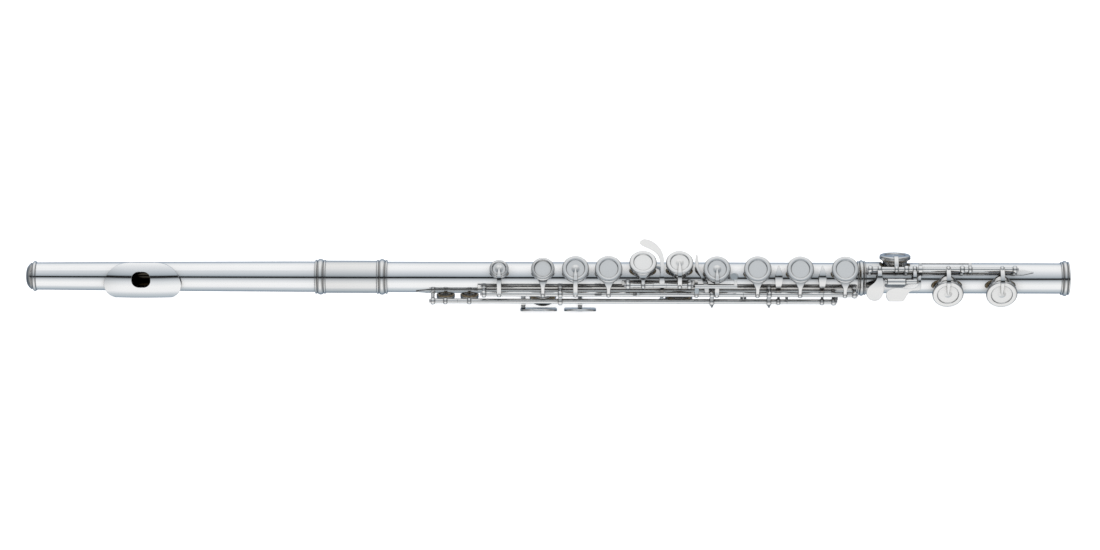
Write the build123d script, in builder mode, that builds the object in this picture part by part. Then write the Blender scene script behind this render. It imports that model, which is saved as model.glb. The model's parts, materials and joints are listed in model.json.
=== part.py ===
from build123d import *
import os
from math import cos, hypot, radians, sin

# Concert flute with a C foot, closed cups and an offset G, built closed up in playing order.
# Millimetres. +X runs along the tube and ends at the foot's open end (X = 0), +Z goes up through the
# main key cups, and -Y is the player's side. A clock angle is measured round the tube from +Z towards -Y.

# ------------------------------------------------------------------ driving dimensions: tubes
BORE_R = 9.5                 # cylindrical bore of body and foot
TUBE_WALL = 0.4
TUBE_R = BORE_R + TUBE_WALL
SLIDE_GAP = 0.03             # radial play of the tuning slide and of the foot tenon
SOLDER_GAP = 0.02            # a solder seam between two sheets
CROWN_END_X = -677.3
HEAD_START_X = -670.5        # crown end of the head tube
HEAD_END_X = -449.5          # end of the tuning slide, inside the barrel
HEAD_CYLINDER_X = -500.0     # the head tube is cylindrical from here to its end
HEAD_MID_X = -590.0
HEAD_START_R = 8.9           # outer radius at the crown
HEAD_MID_R = 9.45
BARREL_X = (-489.7, -442.7)
BARREL_R = 10.5
BODY_X = (-449.2, -125.8)
FOOT_X = (-125.4, 0.0)
SOCKET_X = (-137.6, -121.9)
RING_R = 11.6                # bead rings on barrel and foot socket
END_RING_LENGTH = 5.6

# ------------------------------------------------------------------ driving dimensions: embouchure
HEAD_ROLL = 33.8             # clock angle of the embouchure hole
EMBOUCHURE_X = -601.7
EMBOUCHURE_SIZE = (12.2, 10.4, 4.7)   # length, width, corner radius
RISER_WALL = 1.6
LIP_LENGTH = 49.7
LIP_ARC_R = 15.0             # the plate's outer face, seen along the tube
LIP_ARC_Z = -0.8
LIP_THICKNESS = 0.9
LIP_DROOP_R = 125.0          # the plate's outer face, seen along Y
STOPPER_FACE_X = EMBOUCHURE_X - 17.0
CORK_LENGTH = 15.5
CORK_R = 8.45
PLATE_R = 8.3
PLATE_THICKNESS = 1.2
SCREW_R = 1.9
CROWN_SPIGOT_R = 8.2

# ------------------------------------------------------------------ driving dimensions: keywork
STEEL_R = 1.0
SLEEVE_BORE_R = 1.05
SLEEVE_R = 1.6
BEARING_R = 1.68             # hole that a sleeve turns in
COLLAR_R = 2.3
COLLAR_HALF = 1.4
END_GAP = 0.1                # between neighbouring hinge tubes
POST_HALF = 1.4              # a post head's half width along the rod
POST_BALL_R = 2.45
POST_STEM_R = 1.1
RIB_R = 10.7
SPRING_R = 0.2
PAD_GAP = 0.05               # a closed pad's clearance over its rim
PAD_T = 1.95
CUP_LIP = 0.7
CUP_TOP = 3.2
CUP_WALL = 0.4
RECESS_DEPTH = 0.55
ARM_T = 1.3
ARM_BULGE = 0.28             # how far an arm bows out of its straight line, as a share
CHIMNEY_WALL = 0.45
RIM_R = 0.45
FACE_CLOCK = 24.0            # the finger touches are drawn looking along this clock angle

# rods: distance from the tube axis, clock angle
MAIN_ROD = (15.8, 67.6)
G_ROD = (15.8, 43.2)
TRILL_ROD = (16.8, 91.3)
THUMB_ROD = (15.8, 215.0)
FOOT_ROD = (15.8, 3.0)

# tone holes: X, clock angle, hole radius, rim height over the tube axis, cup radius
D_SHARP_TRILL = (-405.0, 133.0, 3.9, 11.3, 6.0)
D_TRILL = (-389.5, 133.0, 3.9, 11.3, 6.0)
C_SHARP = (-370.1, 0.0, 3.6, 11.7, 6.2)
THUMB_B = (-341.8, 150.0, 6.4, 12.1, 8.75)
B_FLAT = (-320.7, 0.0, 6.6, 12.1, 8.75)
A_HOLE = (-299.3, 0.0, 6.7, 12.1, 8.9)
G_UPPER = (-277.0, -15.0, 6.7, 12.1, 8.9)
G_LOWER = (-253.3, -15.0, 6.8, 12.1, 8.9)
G_SHARP = (-253.3, 135.0, 6.8, 12.1, 8.9)
F_SHARP = (-229.2, 0.0, 6.9, 12.1, 8.8)
F_HOLE = (-202.9, 0.0, 6.9, 12.1, 8.9)
E_HOLE = (-175.4, 0.0, 6.9, 12.1, 8.8)
D_HOLE = (-146.3, 0.0, 6.9, 12.1, 8.8)
E_FLAT = (-113.2, -55.0, 7.4, 12.1, 10.1)
LOW_C_SHARP = (-79.7, 67.0, 7.6, 12.1, 10.1)
LOW_C = (-44.9, 67.0, 7.6, 12.1, 10.1)
BODY_HOLES = [D_SHARP_TRILL, D_TRILL, C_SHARP, THUMB_B, B_FLAT, A_HOLE, G_UPPER, G_LOWER, G_SHARP,
              F_SHARP, F_HOLE, E_HOLE, D_HOLE]
FOOT_HOLES = [E_FLAT, LOW_C_SHARP, LOW_C]
INDEX_TOUCH_X = -341.8
INDEX_TOUCH_R = 7.6

# posts along each rod
MAIN_POSTS = [-379.9, -330.5, -232.3, -195.3, -140.1]
DOUBLE_POSTS = [-330.5, -232.3, -195.3]      # main posts that also guide the trill tube
G_POSTS = [-286.8, -247.0]
TRILL_POSTS = [-413.1, -153.3]
THUMB_POSTS = [-360.5, -306.0]
FOOT_POSTS = [-130.2, -106.7, -70.7, -36.7]

# how far each key stands open, in degrees about its rod
KEY_LIFT = 9.0
THUMB_LIFT = 8.0
FOOT_LIFT = 8.0


# ------------------------------------------------------------------ geometry helpers
def at_clock(radius, clock):
    """The point (y, z) at a distance from the tube axis and a clock angle."""
    return (-radius * sin(radians(clock)), radius * cos(radians(clock)))


def clock_plane(x, clock, height=0.0):
    """A plane facing outward from the tube axis: its x is +X, its y is the tangent away from the player."""
    outward_y, outward_z = at_clock(1.0, clock)
    return Plane(origin=(x, height * outward_y, height * outward_z), x_dir=(1, 0, 0),
                 z_dir=(0, outward_y, outward_z))


def rod_axis(rod):
    y, z = at_clock(*rod)
    return Axis((0, y, z), (1, 0, 0))


def blend(start, end, fraction):
    return tuple(a + (b - a) * fraction for a, b in zip(start, end))


def opened(shape, hole, rod, lift):
    """Swings a closed key or pad open about its rod, away from its tone hole."""
    side = 1 if 0 < (rod[1] - hole[1]) % 360 < 180 else -1
    return shape.rotate(rod_axis(rod), side * lift)


def save(part, name):
    part.label = name
    export_step(part, "parts/" + name + ".step")


# ------------------------------------------------------------------ tubes
def drawn_tube(span, holes):
    """A thin tube with its tone holes drawn up into chimneys and their rims rolled."""
    start, end = span
    with BuildPart() as tube:
        with BuildSketch(Plane.YZ.offset(start)):
            Circle(TUBE_R)
        extrude(amount=end - start)
        for x, clock, radius, seat, _ in holes:
            with BuildSketch(clock_plane(x, clock)):
                Circle(radius + CHIMNEY_WALL)
            extrude(amount=seat - RIM_R)
            with Locations(clock_plane(x, clock, seat - RIM_R).location):
                Torus(radius + CHIMNEY_WALL, RIM_R)
        with BuildSketch(Plane.YZ.offset(start)):
            Circle(BORE_R)
        extrude(amount=end - start, mode=Mode.SUBTRACT)
        for x, clock, radius, seat, _ in holes:
            with BuildSketch(clock_plane(x, clock)):
                Circle(radius)
            extrude(amount=seat + RIM_R, mode=Mode.SUBTRACT)
    return tube.part


def bead_ring(start, end, bore_r, root_r, crest_r):
    """A turned ring of one large bead between two small ones."""
    length = end - start
    small = 0.2 * length
    with BuildPart() as ring:
        with BuildSketch(Plane.XZ):
            with BuildLine():
                Line((start, bore_r), (start, root_r))
                ThreePointArc((start, root_r), (start + small / 2, root_r + 0.6), (start + small, root_r))
                ThreePointArc((start + small, root_r), (start + length / 2, crest_r), (end - small, root_r))
                ThreePointArc((end - small, root_r), (end - small / 2, root_r + 0.6), (end, root_r))
                Line((end, root_r), (end, bore_r))
                Line((end, bore_r), (start, bore_r))
            make_face()
        revolve(axis=Axis.X)
    return ring.part


# ------------------------------------------------------------------ head joint
def head_tube():
    """Drawn tube that narrows to the crown in two cones, a tenth of a degree apart, pierced by the mouth hole."""
    with BuildPart() as tube:
        with BuildSketch(Plane.XZ):
            with BuildLine():
                Polyline((HEAD_START_X, HEAD_START_R), (HEAD_MID_X, HEAD_MID_R), (HEAD_CYLINDER_X, TUBE_R),
                         (HEAD_END_X, TUBE_R), (HEAD_END_X, BORE_R), (HEAD_CYLINDER_X, BORE_R),
                         (HEAD_MID_X, HEAD_MID_R - TUBE_WALL), (HEAD_START_X, HEAD_START_R - TUBE_WALL),
                         close=True)
            make_face()
        revolve(axis=Axis.X)
        with BuildSketch(clock_plane(EMBOUCHURE_X, HEAD_ROLL)):
            RectangleRounded(*EMBOUCHURE_SIZE)
        extrude(amount=2 * TUBE_R, mode=Mode.SUBTRACT)
    return tube.part


def lip_blank(outer_r, inner_r):
    """The lip plate's doubly curved layer between two radii, before its outline is cut."""
    player_edge, far_edge = -60.0, 45.0
    centre = (0.0, LIP_ARC_Z)
    with BuildPart() as blank:
        with BuildSketch(Plane.YZ.offset(EMBOUCHURE_X)):
            with BuildLine():
                CenterArc(centre, outer_r, 90 - far_edge, far_edge - player_edge)
                if inner_r > 0:
                    CenterArc(centre, inner_r, 90 - far_edge, far_edge - player_edge)
                    for angle in (90 - player_edge, 90 - far_edge):
                        PolarLine(blend(centre, (inner_r * cos(radians(angle)),
                                                 LIP_ARC_Z + inner_r * sin(radians(angle))), 1.0),
                                  outer_r - inner_r, angle)
                else:
                    PolarLine(centre, outer_r, 90 - player_edge)
                    PolarLine(centre, outer_r, 90 - far_edge)
            make_face()
        revolve(axis=Axis((EMBOUCHURE_X, 0, LIP_ARC_Z + LIP_ARC_R - LIP_DROOP_R), (0, 1, 0)))
        with BuildSketch(Plane.XY):
            with Locations((EMBOUCHURE_X, 0)):
                Rectangle(LIP_LENGTH + 2, 4 * LIP_ARC_R)
        extrude(amount=2 * LIP_ARC_R, mode=Mode.INTERSECT)
    return blank.part


def lip_outline(half_length):
    """The plate's outline: wide and square on the player's side, drawn in where the air leaves."""
    x = EMBOUCHURE_X + 0.7
    corners = [(17.5, -13.2), (half_length, -2.0), (12.0, 10.2)]
    with BuildLine() as outline:
        Line((x - corners[0][0], corners[0][1]), (x + corners[0][0], corners[0][1]))
        for side in (-1, 1):
            low, wide, high = [(x + side * a, b) for a, b in corners]
            ThreePointArc(low, (x + side * (half_length - 1.9), -9.6), wide)
            ThreePointArc(wide, (x + side * (half_length - 4.3), 5.9), high)
        ThreePointArc((x - corners[2][0], corners[2][1]), (x, corners[2][1] + 0.8),
                      (x + corners[2][0], corners[2][1]))
    return outline


def lip_plate(blank):
    outline = lip_outline(LIP_LENGTH / 2)
    with BuildPart() as plate:
        add(blank)
        with BuildSketch(Plane.XY):
            add(outline.line)
            make_face()
        extrude(amount=2 * LIP_ARC_R, mode=Mode.INTERSECT)
        with BuildSketch(Plane.XY):
            with Locations((EMBOUCHURE_X, 0)):
                RectangleRounded(*EMBOUCHURE_SIZE)
        extrude(amount=2 * LIP_ARC_R, mode=Mode.SUBTRACT)
    return plate.part.rotate(Axis.X, HEAD_ROLL)


def embouchure_riser(core):
    """The chimney that joins the lip plate to the head tube."""
    length, width, corner = EMBOUCHURE_SIZE
    with BuildPart() as riser:
        add(core)
        with BuildSketch(Plane.XY):
            with Locations((EMBOUCHURE_X, 0)):
                RectangleRounded(length + 2 * RISER_WALL, width + 2 * RISER_WALL, corner + RISER_WALL)
                RectangleRounded(length, width, corner, mode=Mode.SUBTRACT)
        extrude(amount=2 * LIP_ARC_R, mode=Mode.INTERSECT)
        with BuildSketch(Plane.XZ):
            with BuildLine():
                Polyline((HEAD_START_X, 0), (HEAD_START_X, HEAD_START_R + SOLDER_GAP),
                         (HEAD_MID_X, HEAD_MID_R + SOLDER_GAP), (HEAD_CYLINDER_X, TUBE_R + SOLDER_GAP),
                         (HEAD_CYLINDER_X, 0), close=True)
            make_face()
        revolve(axis=Axis.X, mode=Mode.SUBTRACT)
    return riser.part.rotate(Axis.X, HEAD_ROLL)


def crown():
    dome_x = CROWN_END_X
    ring_x = HEAD_START_X
    spigot = 4.5
    with BuildPart() as cap:
        with BuildSketch(Plane.XZ):
            with BuildLine():
                ThreePointArc((dome_x, SCREW_R + 0.1), (dome_x + 0.9, 6.2), (dome_x + 3.4, 8.7))
                ThreePointArc((dome_x + 3.4, 8.7), (dome_x + 3.8, 8.3), (dome_x + 4.2, 8.7))
                ThreePointArc((dome_x + 4.2, 8.7), (dome_x + 5.4, 9.8), (ring_x, 9.0))
                Polyline((ring_x, 9.0), (ring_x, CROWN_SPIGOT_R), (ring_x + spigot, CROWN_SPIGOT_R),
                         (ring_x + spigot, SCREW_R + 0.1), (dome_x, SCREW_R + 0.1))
            make_face()
        revolve(axis=Axis.X)
        with BuildSketch(Plane.YZ.offset(dome_x)):
            Circle(SCREW_R + 0.2)
        extrude(amount=1.0)
    return cap.part


def stopper_screw():
    """Face plate and threaded rod that carry the cork."""
    with BuildPart() as screw:
        with BuildSketch(Plane.YZ.offset(STOPPER_FACE_X - PLATE_THICKNESS)):
            Circle(PLATE_R)
        extrude(amount=PLATE_THICKNESS)
        with BuildSketch(Plane.YZ.offset(STOPPER_FACE_X - PLATE_THICKNESS)):
            Circle(SCREW_R)
        extrude(amount=CROWN_END_X + 3.0 - STOPPER_FACE_X + PLATE_THICKNESS)
        groove_count = 24
        groove_start = HEAD_START_X + 6.0
        for index in range(groove_count):
            groove_x = groove_start + index
            with Locations(Plane.YZ.offset(groove_x).location):
                Torus(SCREW_R + 0.05, 0.22, mode=Mode.SUBTRACT)
    return screw.part


def washer(start, length, outer_r, bore_r):
    with BuildPart() as ring:
        with BuildSketch(Plane.YZ.offset(start)):
            Circle(outer_r)
            Circle(bore_r, mode=Mode.SUBTRACT)
        extrude(amount=length)
    return ring.part


# ------------------------------------------------------------------ ribs, posts, steels and springs
def rib(span, clocks, tip=0.0, holes=()):
    """A strap soldered along the tube, cut clear of the chimneys; a tip length points one end."""
    start, end = span
    first, last = clocks
    middle = (first + last) / 2
    half = RIB_R * radians(last - first) / 2 + 0.5
    with BuildPart() as strap:
        with BuildSketch(Plane.XZ):
            with Locations(((start + end) / 2, (TUBE_R + RIB_R) / 2)):
                Rectangle(end - start, RIB_R - TUBE_R)
        revolve(axis=Axis.X, revolution_arc=last - first)
    turned = strap.part.rotate(Axis.X, first)
    with BuildPart() as pointed:
        add(turned)
        if tip != 0:
            point, base = (start, end) if tip > 0 else (end, start)
            with BuildSketch(clock_plane(0, middle)):
                with BuildLine():
                    Polyline((point, 0), (point + tip, half), (base, half), (base, -half),
                             (point + tip, -half), (point, 0))
                make_face()
            extrude(amount=2 * TUBE_R, mode=Mode.INTERSECT)
        for x, clock, radius, _, _ in holes:
            with BuildSketch(clock_plane(x, clock)):
                Circle(radius + CHIMNEY_WALL + RIM_R)
            extrude(amount=2 * TUBE_R, mode=Mode.SUBTRACT)
    return pointed.part


def post(x, rod, hole_r, foot_r=RIB_R, finial=0.0):
    """A turned post on the tube: flanged foot, slim stem, ball head with flat sides and a hinge hole."""
    distance, clock = rod
    ball_r = POST_BALL_R if hole_r < SLEEVE_R else POST_BALL_R + 0.3
    stem_top = distance - ball_r * 0.8
    with BuildPart() as turned:
        with BuildSketch(Plane.XZ):
            with BuildLine():
                Polyline((x, foot_r - 1.0), (x + 2.0, foot_r - 1.0), (x + 2.0, foot_r + 0.35),
                         (x + POST_STEM_R, foot_r + 0.9), (x + POST_STEM_R, stem_top), (x, stem_top),
                         (x, foot_r - 1.0))
            make_face()
        revolve(axis=Axis((x, 0, 0), (0, 0, 1)))
        with Locations((x, 0, distance)):
            Sphere(ball_r)
        if finial > 0:
            with BuildSketch(Plane.XY.offset(distance + ball_r - 0.5)):
                with Locations((x, 0)):
                    Circle(1.1)
            extrude(amount=finial, taper=18)
        with BuildSketch(Plane.YZ.offset(x)):
            Rectangle(4 * distance, 4 * distance)
        extrude(amount=POST_HALF, both=True, mode=Mode.INTERSECT)
        with BuildSketch(Plane.YZ.offset(x)):
            with Locations((0, distance)):
                Circle(hole_r)
            Circle(foot_r)
        extrude(amount=4 * POST_HALF, both=True, mode=Mode.SUBTRACT)
    return turned.part.rotate(Axis.X, clock)


def post_link(x, rod_a, rod_b):
    """The web that ties a main post's head to the trill guide beside it."""
    ends = [at_clock(*rod_a), at_clock(*rod_b)]
    points = [blend(ends[0], ends[1], 0.33), blend(ends[0], ends[1], 0.62)]
    with BuildPart() as link:
        with BuildSketch(Plane.YZ.offset(x - POST_HALF * 0.8)):
            with BuildLine():
                Line(*points)
            trace(line_width=1.6)
        extrude(amount=2 * POST_HALF * 0.8)
    return link.part


def rods(rod, start, end):
    """A hinge steel."""
    with BuildPart() as steel:
        with BuildSketch(Plane.YZ.offset(start)):
            with Locations(at_clock(*rod)):
                Circle(STEEL_R)
        extrude(amount=end - start)
    return steel.part


def needle(x, length, rod, side):
    """A needle spring: it leaves a post beside its rod and lies along the hinge tube."""
    distance, clock = rod
    with BuildPart() as wire:
        with BuildSketch(Plane.YZ.offset(x)):
            with Locations(at_clock(distance - 2.4, clock + side * 4.4)):
                Circle(SPRING_R)
        extrude(amount=length)
    return wire.part


def group(pieces):
    """Separate solids of one kind kept together."""
    with BuildPart() as together:
        for piece in pieces:
            add(piece)
    return together.part


# ------------------------------------------------------------------ key pieces, drawn closed
def cup(x, seat, radius, clock, recess_r, hub=False, dish=0.0):
    """A key cup over its pad: rounded outer ring, recessed middle, open underneath."""
    top = seat + CUP_TOP
    floor = top - RECESS_DEPTH - dish
    under = seat + PAD_T + PAD_GAP - dish
    edge = 1.0
    with BuildPart() as shell:
        with BuildSketch(Plane.XZ):
            with BuildLine():
                Polyline((x, under), (x + radius - CUP_WALL, under), (x + radius - CUP_WALL, seat + CUP_LIP),
                         (x + radius, seat + CUP_LIP), (x + radius, top - edge))
                ThreePointArc((x + radius, top - edge), (x + radius - 0.29 * edge, top - 0.29 * edge),
                              (x + radius - edge, top))
                ThreePointArc((x + radius - edge, top), (x + (radius + recess_r) / 2, top + 0.12),
                              (x + recess_r + 0.35, top))
                Line((x + recess_r + 0.35, top), (x + recess_r, floor))
                if hub:
                    Polyline((x + recess_r, floor), (x + 2.7, floor), (x + 1.0, floor + 0.5),
                             (x, floor + 0.5))
                    Line((x, floor + 0.5), (x, under))
                else:
                    Polyline((x + recess_r, floor), (x, floor), (x, under))
            make_face()
        revolve(axis=Axis((x, 0, 0), (0, 0, 1)))
    return shell.part.rotate(Axis.X, clock)


def pad(hole, rod, lift):
    """Felt pad: a flat disc that closes the rim, tucked inside its cup."""
    x, clock, _, seat, radius = hole
    with BuildPart() as disc:
        with BuildSketch(Plane.XY.offset(seat + PAD_GAP)):
            with Locations((x, 0)):
                Circle(radius - CUP_WALL - 0.05)
        extrude(amount=PAD_T - 0.02)
        fillet(disc.edges().filter_by(GeomType.CIRCLE).sort_by(Axis.Z)[0], 0.45)
    return opened(disc.part.rotate(Axis.X, clock), hole, rod, lift)


def hinge_beside(rod, clock):
    """The rod's (y, z) as seen by a key whose tone hole is turned up to +Z."""
    return at_clock(rod[0], rod[1] - clock)


def arm_side(x, width, hinge, inner_start, outer_start):
    """An arm's bent profile, from the cup's side down to the hinge tube."""
    hinge_y, hinge_z = hinge
    away = 1 if hinge_y > 0 else -1
    outer_end = (hinge_y + away * 1.3, hinge_z + 0.5)
    inner_end = (hinge_y - away * 0.6, hinge_z + 0.5)
    outer_mid = blend(blend(outer_start, outer_end, 0.5), (outer_end[0], outer_start[1]), ARM_BULGE)
    inner_mid = blend(blend(inner_start, inner_end, 0.5), (inner_end[0], inner_start[1]), ARM_BULGE)
    with BuildPart() as band:
        with BuildSketch(Plane.YZ.offset(x - width / 2)):
            with BuildLine():
                ThreePointArc(outer_start, outer_mid, outer_end)
                Line(outer_end, inner_end)
                ThreePointArc(inner_end, inner_mid, inner_start)
                Line(inner_start, outer_start)
            make_face()
        extrude(amount=width)
    return band.part


def pad_room(x, seat, cup_r):
    """The space under a cup that an arm keeps out of."""
    with BuildPart() as room:
        with BuildSketch(Plane.XY):
            with Locations((x, 0)):
                Circle(cup_r - CUP_WALL / 2)
        extrude(amount=seat + PAD_T + PAD_GAP + 0.1)
    return room.part


def y_arm(x, seat, cup_r, clock, rod):
    """A fishtail arm that spreads to both sides of a finger cup."""
    hinge = hinge_beside(rod, clock)
    away = 1 if hinge[0] > 0 else -1
    reach = abs(hinge[0])
    wide = 0.70 * cup_r
    root = 0.70 * cup_r
    side = arm_side(x, 2 * wide + 2, hinge, (away * 0.62 * cup_r, seat + CUP_LIP + 0.1),
                    (away * 0.62 * cup_r, seat + CUP_TOP - 0.8))
    with BuildPart() as arm:
        add(side)
        with BuildSketch(Plane.XY):
            with BuildLine():
                for hand in (-1, 1):
                    ThreePointArc((x + hand * wide, away * root), (x + hand * 2.3, away * (cup_r + 1.0)),
                                  (x + hand * 1.0, away * (reach - 1.6)))
                    Line((x + hand * 1.0, away * (reach - 1.6)), (x + hand * 1.0, away * (reach + 2.0)))
                    Line((x + hand * wide, away * root), (x + hand * wide, away * 0.5 * cup_r))
                Line((x - 1.0, away * (reach + 2.0)), (x + 1.0, away * (reach + 2.0)))
                Line((x - wide, away * 0.5 * cup_r), (x + wide, away * 0.5 * cup_r))
            make_face()
        extrude(amount=3 * TUBE_R, mode=Mode.INTERSECT)
        add(pad_room(x, seat, cup_r), mode=Mode.SUBTRACT)
    return arm.part.rotate(Axis.X, clock)


def pointed_arm(x, seat, cup_r, clock, rod):
    """A tapering arm that runs over the rim to a point at the middle of the cup."""
    hinge = hinge_beside(rod, clock)
    away = 1 if hinge[0] > 0 else -1
    reach = abs(hinge[0])
    rim = away * (cup_r - 0.9)
    top = seat + CUP_TOP
    side = arm_side(x, 4.0, hinge, (rim, top - 1.1), (rim, top + 0.75))
    with BuildPart() as arm:
        add(side)
        with BuildSketch(Plane.YZ.offset(x - 2.0)):
            with BuildLine():
                Polyline((rim, top - 1.0), (rim, top + 0.75), (away * 0.55 * cup_r, top + 0.75),
                         (away * -0.4, top + 0.1), (away * -0.4, top - RECESS_DEPTH - 0.1),
                         (away * 0.3 * cup_r, top - RECESS_DEPTH - 0.1), (rim, top - 1.0))
            make_face()
        extrude(amount=4.0)
        with BuildSketch(Plane.XY):
            with BuildLine():
                Polyline((x - 1.35, away * (reach + 2.0)), (x - 1.35, away * (cup_r + 0.3)),
                         (x - 1.0, away * 0.5 * cup_r), (x - 0.35, away * -0.4), (x + 0.35, away * -0.4),
                         (x + 1.0, away * 0.5 * cup_r), (x + 1.35, away * (cup_r + 0.3)),
                         (x + 1.35, away * (reach + 2.0)), (x - 1.35, away * (reach + 2.0)))
            make_face()
        extrude(amount=3 * TUBE_R, mode=Mode.INTERSECT)
        add(pad_room(x, seat, cup_r), mode=Mode.SUBTRACT)
    return arm.part.rotate(Axis.X, clock)


def band(x, width, points, thickness=ARM_T):
    """A flat bar bent through (y, z) points, of one width along X."""
    with BuildPart() as bar:
        with BuildSketch(Plane.YZ.offset(x - width / 2)):
            with BuildLine():
                if len(points) > 2:
                    Spline(*points)
                else:
                    Line(*points)
            trace(line_width=thickness)
        extrude(amount=width)
    return bar.part


def pin(start, end, centre, radius):
    """A round bar along X."""
    with BuildPart() as bar:
        with BuildSketch(Plane.YZ.offset(start)):
            with Locations(centre):
                Circle(radius)
        extrude(amount=end - start)
    return bar.part


def outlined(blank, points):
    """Trims a bent plate to a rounded outline of (x, across) points, seen by the player's finger."""
    with BuildPart() as plate:
        add(blank)
        with BuildSketch(clock_plane(0, FACE_CLOCK, -2 * TUBE_R)):
            with BuildLine():
                Spline(*points, periodic=True)
            make_face()
        extrude(amount=6 * TUBE_R, mode=Mode.INTERSECT)
    return plate.part


def lug(x, rod, clock, reach=3.9, width=1.8):
    """A short clutch tab standing out from a hinge tube."""
    y, z = at_clock(*rod)
    out_y, out_z = at_clock(reach, clock)
    return band(x, width, [(y, z), (y + out_y, z + out_z)], 1.3)


def hinged(rod, spans, collars, pieces, bore_r=SLEEVE_BORE_R):
    """One soldered key: hinge tubes with their collars, its arms, cups and touches, bored for the steel."""
    y, z = at_clock(*rod)
    with BuildPart() as key:
        for start, end in spans:
            with BuildSketch(Plane.YZ.offset(start)):
                with Locations((y, z)):
                    Circle(SLEEVE_R)
            extrude(amount=end - start)
        for x in collars:
            with BuildSketch(Plane(origin=(x, y, z), x_dir=(1, 0, 0), z_dir=(0, -1, 0))):
                with BuildLine():
                    ThreePointArc((-COLLAR_HALF, SLEEVE_R), (0, COLLAR_R), (COLLAR_HALF, SLEEVE_R))
                    Polyline((COLLAR_HALF, SLEEVE_R), (COLLAR_HALF, 0), (-COLLAR_HALF, 0),
                             (-COLLAR_HALF, SLEEVE_R))
                make_face()
            revolve(axis=Axis((x, y, z), (1, 0, 0)))
        for piece in pieces:
            add(piece)
        for start, end in spans:
            with BuildSketch(Plane.YZ.offset(start - 1.0)):
                with Locations((y, z)):
                    Circle(bore_r)
            extrude(amount=end - start + 2.0, mode=Mode.SUBTRACT)
    return key.part


def finger_cup(hole, rod):
    """A closed cup for a fingertip with its fishtail arm."""
    x, clock, _, seat, radius = hole
    return [cup(x, seat, radius, clock, 0.66 * radius), y_arm(x, seat, radius, clock, rod)]


def linked_cup(hole, rod):
    """A cup that no finger touches, with its pointed arm."""
    x, clock, _, seat, radius = hole
    return [cup(x, seat, radius, clock, 0.66 * radius, hub=True), pointed_arm(x, seat, radius, clock, rod)]


def span_between(left, right):
    return (left + POST_HALF + END_GAP, right - POST_HALF - END_GAP)


# ------------------------------------------------------------------ left-hand keys
def c_sharp_key():
    """Small C sharp cup with the index finger's touch on the same tube."""
    x, clock, _, seat, radius = C_SHARP
    touch = [cup(INDEX_TOUCH_X, B_FLAT[3], INDEX_TOUCH_R, clock, 0.70 * INDEX_TOUCH_R, dish=0.5),
             y_arm(INDEX_TOUCH_X, B_FLAT[3], INDEX_TOUCH_R, clock, MAIN_ROD)]
    key = hinged(MAIN_ROD, [span_between(MAIN_POSTS[0], MAIN_POSTS[1])], [x, INDEX_TOUCH_X],
                 linked_cup(C_SHARP, MAIN_ROD) + touch)
    return opened(key, C_SHARP, MAIN_ROD, KEY_LIFT)


def b_flat_key(end_x):
    pieces = linked_cup(B_FLAT, MAIN_ROD) + [lug(end_x - 1.1, MAIN_ROD, 20)]
    key = hinged(MAIN_ROD, [(MAIN_POSTS[1] + POST_HALF + END_GAP, end_x)], [B_FLAT[0]], pieces)
    return opened(key, B_FLAT, MAIN_ROD, KEY_LIFT)


def a_key(start_x, end_x):
    lugs = [lug(x, MAIN_ROD, 20) for x in (start_x + 1.1, end_x - 1.1)]
    pieces = finger_cup(A_HOLE, MAIN_ROD) + lugs
    key = hinged(MAIN_ROD, [(start_x, end_x)], [A_HOLE[0]], pieces)
    return opened(key, A_HOLE, MAIN_ROD, KEY_LIFT)


def side_lever(start_x):
    """Right index finger's B flat lever: long tube, bar over the F sharp arm, round touch and stop arm."""
    bar_centre = (-13.9, 16.7)
    link_x, touch_x, stem_x = -242.4, -218.4, -217.4
    touch_centre = (-7.4, 16.6)
    with BuildPart() as button:
        with BuildSketch(clock_plane(touch_x, 22, hypot(*touch_centre) - 0.7)):
            Circle(2.8)
        extrude(amount=1.4)
        fillet(button.edges().filter_by(GeomType.CIRCLE), 0.45)
    stop_path = [at_clock(*MAIN_ROD), (-10.5, 9.9), (-3.0, 13.6), (4.0, 13.7), (13.0, 11.2)]
    stop_blank = band(-238.6, 11.0, stop_path, 1.1)
    stop = outlined(stop_blank, [(-234.5, -10.0), (-236.9, -1.0), (-241.0, 7.0), (-241.1, 12.0),
                                 (-242.0, 15.2), (-243.0, 12.0), (-243.0, 7.5), (-239.2, -0.5),
                                 (-236.7, -10.0), (-235.6, -12.4)])
    pieces = [band(link_x, 2.6, [at_clock(*MAIN_ROD), bar_centre], 1.8),
              pin(link_x - 1.3, stem_x + 1.0, bar_centre, 1.1),
              band(stem_x, 2.0, [bar_centre, (-11.0, 16.0), touch_centre], 1.2),
              button.part, stop,
              lug(start_x + 1.1, MAIN_ROD, 20)]
    return hinged(MAIN_ROD, [(start_x, MAIN_POSTS[2] - POST_HALF - END_GAP)], [link_x], pieces)


def g_key(hole, span, pieces):
    return opened(hinged(G_ROD, [span], [hole[0]], pieces), hole, G_ROD, KEY_LIFT)


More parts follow.
